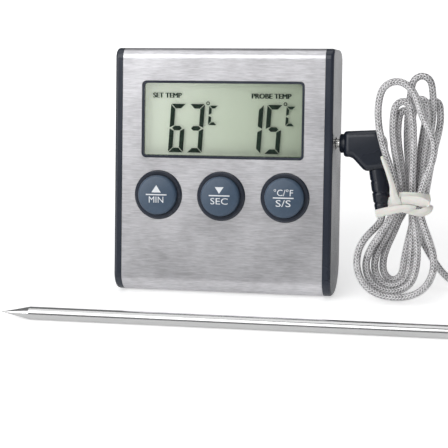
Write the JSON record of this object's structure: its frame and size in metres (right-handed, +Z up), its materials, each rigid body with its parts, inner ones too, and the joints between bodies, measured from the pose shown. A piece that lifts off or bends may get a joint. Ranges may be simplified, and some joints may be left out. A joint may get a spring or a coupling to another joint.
{
  "type": "meat thermometer",
  "caption": "Leaning display unit with steel face, keys, fold-out stand and battery door, joined by a coiled braided lead and plug to a pointed steel probe.",
  "frame": {"origin": "on the table under the middle of the display unit, where its lower front edge would meet the table", "axes": "+Z up, -Y out of the display face towards the user, +X to the side the probe plugs into"},
  "size_m": [0.1744, 0.0707, 0.0704],
  "materials": {
    "dark_plastic": "semi-gloss",
    "brushed_steel": "brushed across",
    "key_plastic": "satin",
    "clear_lens": "clear",
    "lcd_glass": "clear",
    "lcd_reflector": "pearly",
    "inner_plastic": "matte",
    "zebra_rubber": "matte",
    "board": "solder mask",
    "resin": "gloss",
    "silicone": "matte",
    "bright_metal": "plated",
    "screw_steel": "zinc plated",
    "brass": "bare",
    "ceramic": "matte",
    "cell_wrap": "printed sleeve",
    "magnet_nickel": "nickel plated",
    "slider_plastic": "satin",
    "plug_rubber": "soft moulded",
    "insulator": "matte",
    "braid": "woven wire",
    "tie": "paper-thin plastic",
    "probe_steel": "polished",
    "crimp_steel": "satin",
    "bead": "glazed",
    "wire": "lacquered"
  },
  "bodies": {
    "display_unit": {"front_case": "dark_plastic", "rear_case": "dark_plastic", "steel_panel": "brushed_steel", "case_screws": "screw_steel", "window_lens": "clear_lens", "lcd_front_glass": "lcd_glass", "lcd_rear_glass": "lcd_glass", "lcd_reflector": "lcd_reflector", "lcd_holder": "inner_plastic", "zebra_strip": "zebra_rubber", "circuit_board": "board", "board_screws": "screw_steel", "controller_chip": "resin", "crystal_can": "bright_metal", "capacitor": "resin", "keypad_mat": "silicone", "jack_socket": "insulator", "socket_tabs": "bright_metal", "battery": "cell_wrap", "battery_spring": "bright_metal", "battery_plates": "bright_metal", "buzzer_disc": "brass", "buzzer_ceramic": "ceramic", "magnet_left": "magnet_nickel", "magnet_right": "magnet_nickel", "power_switch_body": "bright_metal", "mode_switch_body": "bright_metal"},
    "min_key": {"button_min": "key_plastic"},
    "sec_key": {"button_sec": "key_plastic"},
    "mode_key": {"button_mode": "key_plastic"},
    "door": {"battery_door": "dark_plastic"},
    "stand": {"kickstand": "dark_plastic"},
    "power_slider": {"power_switch_slider": "slider_plastic"},
    "mode_slider": {"mode_switch_slider": "slider_plastic"},
    "plug_and_lead": {"plug_sleeve": "bright_metal", "plug_insulator": "insulator", "plug_tip": "bright_metal", "plug_housing": "plug_rubber", "strain_relief": "plug_rubber", "cable_coil": "braid", "cable_lead": "braid", "twist_tie": "tie"},
    "probe": {"probe_tube": "probe_steel", "thermistor": "bead", "sensor_wires": "wire", "probe_seal": "resin", "probe_crimp": "crimp_steel"}
  },
  "joints": [
    {"name": "min_key_press", "type": "slide", "parent": "display_unit", "child": "min_key", "axis": [0, 0.9613, -0.2756], "range_m": [0, 0.0008], "stiffness_N_per_m": 900, "springref_m": -0.0006},
    {"name": "sec_key_press", "type": "slide", "parent": "display_unit", "child": "sec_key", "axis": [0, 0.9613, -0.2756], "range_m": [0, 0.0008], "stiffness_N_per_m": 900, "springref_m": -0.0006},
    {"name": "mode_key_press", "type": "slide", "parent": "display_unit", "child": "mode_key", "axis": [0, 0.9613, -0.2756], "range_m": [0, 0.0008], "stiffness_N_per_m": 900, "springref_m": -0.0006},
    {"name": "power_switch_slide", "type": "slide", "parent": "display_unit", "child": "power_slider", "axis": [1, 0, 0], "range_m": [0, 0.0025]},
    {"name": "mode_switch_slide", "type": "slide", "parent": "display_unit", "child": "mode_slider", "axis": [1, 0, 0], "range_m": [0, 0.0025]},
    {"name": "battery_door_hinge", "type": "hinge", "parent": "display_unit", "child": "door", "pos_m": [0, 0.017, 0.00712], "axis": [-1, 0, 0], "range_deg": [0, 90]},
    {"name": "stand_hinge", "type": "hinge", "parent": "display_unit", "child": "stand", "pos_m": [0, 0.02075, 0.02092], "axis": [1, 0, 0], "range_deg": [0, 111.31]},
    {"name": "plug_pull", "type": "slide", "parent": "display_unit", "child": "plug_and_lead", "axis": [1, 0, 0], "range_m": [0, 0.0125]},
    {"name": "probe_swing", "type": "hinge", "parent": "plug_and_lead", "child": "probe", "pos_m": [0.0936, -0.0203, 0.0019], "axis": [0, 0, 1], "range_deg": [-5, 40]}
  ]
}
